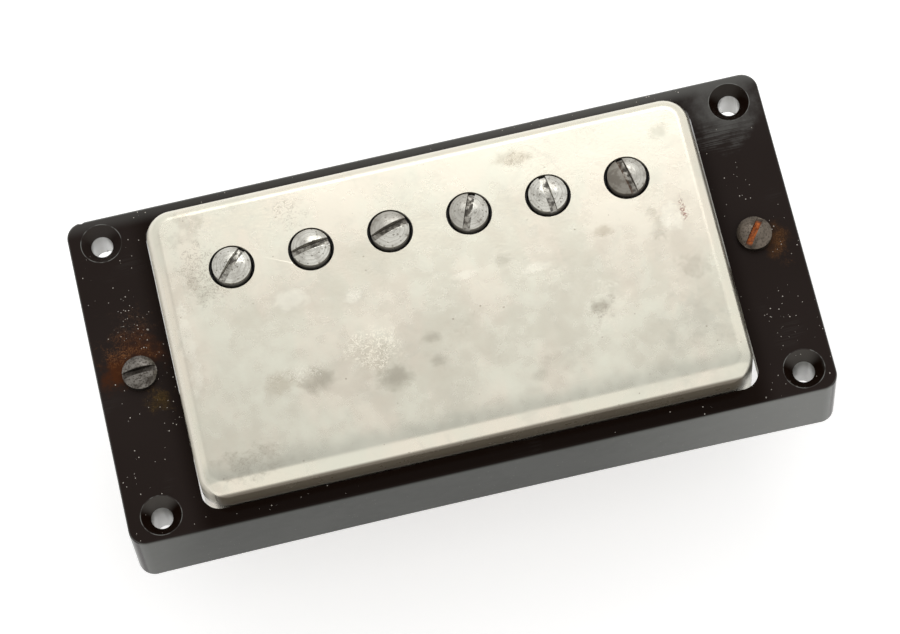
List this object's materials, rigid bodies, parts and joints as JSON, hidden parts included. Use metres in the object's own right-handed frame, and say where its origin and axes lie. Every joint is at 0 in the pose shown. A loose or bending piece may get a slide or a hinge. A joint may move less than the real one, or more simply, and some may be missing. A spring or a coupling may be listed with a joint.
{
  "type": "guitar pickup",
  "caption": "Covered twin-coil guitar pickup with screw pole pieces, hung on sprung height screws in a black plastic mounting ring.",
  "frame": {"origin": "middle of the arched seat on which the mounting ring sits on the guitar top", "axes": "+X along the ring to its right end, +Y across it to the pole screw side, +Z along the pole pieces to the strings"},
  "size_m": [0.0894, 0.0438, 0.0372],
  "materials": {
    "ring_plastic": "glossy warm black moulding, dusty and finely scratched",
    "cover_nickel": "worn warm nickel plate, mottled and spotted",
    "pole_screw_steel": "worn grey plated steel with dark slots",
    "height_screw_steel": "pitted grey plated steel with rust in the slots",
    "spring_steel": "dull spring wire",
    "baseplate_metal": "dull yellowish nickel alloy sheet",
    "bobbin_plastic": "black moulding",
    "coil_wire": "enamelled copper winding",
    "coil_tape": "black paper tape",
    "slug_steel": "plain steel",
    "keeper_steel": "plain steel bar",
    "magnet_alloy": "rough ground cast magnet alloy",
    "spacer_wood": "plain maple strip",
    "brass": "dull brass screws",
    "solder": "dull solder"
  },
  "bodies": {
    "ring": {"mounting_ring": "ring_plastic", "height_spring_left": "spring_steel", "height_spring_right": "spring_steel"},
    "height_screw_left": {"height_screw_left": "height_screw_steel"},
    "height_screw_right": {"height_screw_right": "height_screw_steel"},
    "pickup": {"cover": "cover_nickel", "baseplate": "baseplate_metal", "screw_bobbin": "bobbin_plastic", "slug_bobbin": "bobbin_plastic", "screw_coil": "coil_wire", "slug_coil": "coil_wire", "screw_coil_tape": "coil_tape", "slug_coil_tape": "coil_tape", "keeper_bar": "keeper_steel", "bar_magnet": "magnet_alloy", "wood_spacer": "spacer_wood", "pole_slug_1": "slug_steel", "pole_slug_2": "slug_steel", "pole_slug_3": "slug_steel", "pole_slug_4": "slug_steel", "pole_slug_5": "slug_steel", "pole_slug_6": "slug_steel", "bobbin_screw_1": "brass", "bobbin_screw_2": "brass", "bobbin_screw_3": "brass", "bobbin_screw_4": "brass", "solder_joint_far": "solder", "solder_joint_near": "solder"},
    "pole_screw_1": {"pole_screw_1": "pole_screw_steel"},
    "pole_screw_2": {"pole_screw_2": "pole_screw_steel"},
    "pole_screw_3": {"pole_screw_3": "pole_screw_steel"},
    "pole_screw_4": {"pole_screw_4": "pole_screw_steel"},
    "pole_screw_5": {"pole_screw_5": "pole_screw_steel"},
    "pole_screw_6": {"pole_screw_6": "pole_screw_steel"}
  },
  "joints": [
    {"name": "pickup_height", "type": "slide", "parent": "ring", "child": "pickup", "axis": [0, 0, 1], "range_m": [-0.004, 0.003], "deforming": ["height_spring_left", "height_spring_right"]},
    {"name": "height_screw_left_turn", "type": "hinge", "parent": "ring", "child": "height_screw_left", "pos_m": [-0.03923, 0, 0.008], "axis": [0, 0, 1], "range_deg": [-2045, 2725]},
    {"name": "height_screw_right_turn", "type": "hinge", "parent": "ring", "child": "height_screw_right", "pos_m": [0.03923, 0, 0.008], "axis": [0, 0, 1], "range_deg": [-2045, 2725]},
    {"name": "pole_screw_1_height", "type": "slide", "parent": "pickup", "child": "pole_screw_1", "axis": [0, 0, 1], "range_m": [-0.0014, 0.003]},
    {"name": "pole_screw_2_height", "type": "slide", "parent": "pickup", "child": "pole_screw_2", "axis": [0, 0, 1], "range_m": [-0.0014, 0.003]},
    {"name": "pole_screw_3_height", "type": "slide", "parent": "pickup", "child": "pole_screw_3", "axis": [0, 0, 1], "range_m": [-0.0014, 0.003]},
    {"name": "pole_screw_4_height", "type": "slide", "parent": "pickup", "child": "pole_screw_4", "axis": [0, 0, 1], "range_m": [-0.0014, 0.003]},
    {"name": "pole_screw_5_height", "type": "slide", "parent": "pickup", "child": "pole_screw_5", "axis": [0, 0, 1], "range_m": [-0.0014, 0.003]},
    {"name": "pole_screw_6_height", "type": "slide", "parent": "pickup", "child": "pole_screw_6", "axis": [0, 0, 1], "range_m": [-0.0014, 0.003]}
  ],
  "couplings": [
    {"joint": "height_screw_left_turn", "follows": "pickup_height", "rad_per_m": -11874},
    {"joint": "height_screw_right_turn", "follows": "pickup_height", "rad_per_m": -11874}
  ]
}
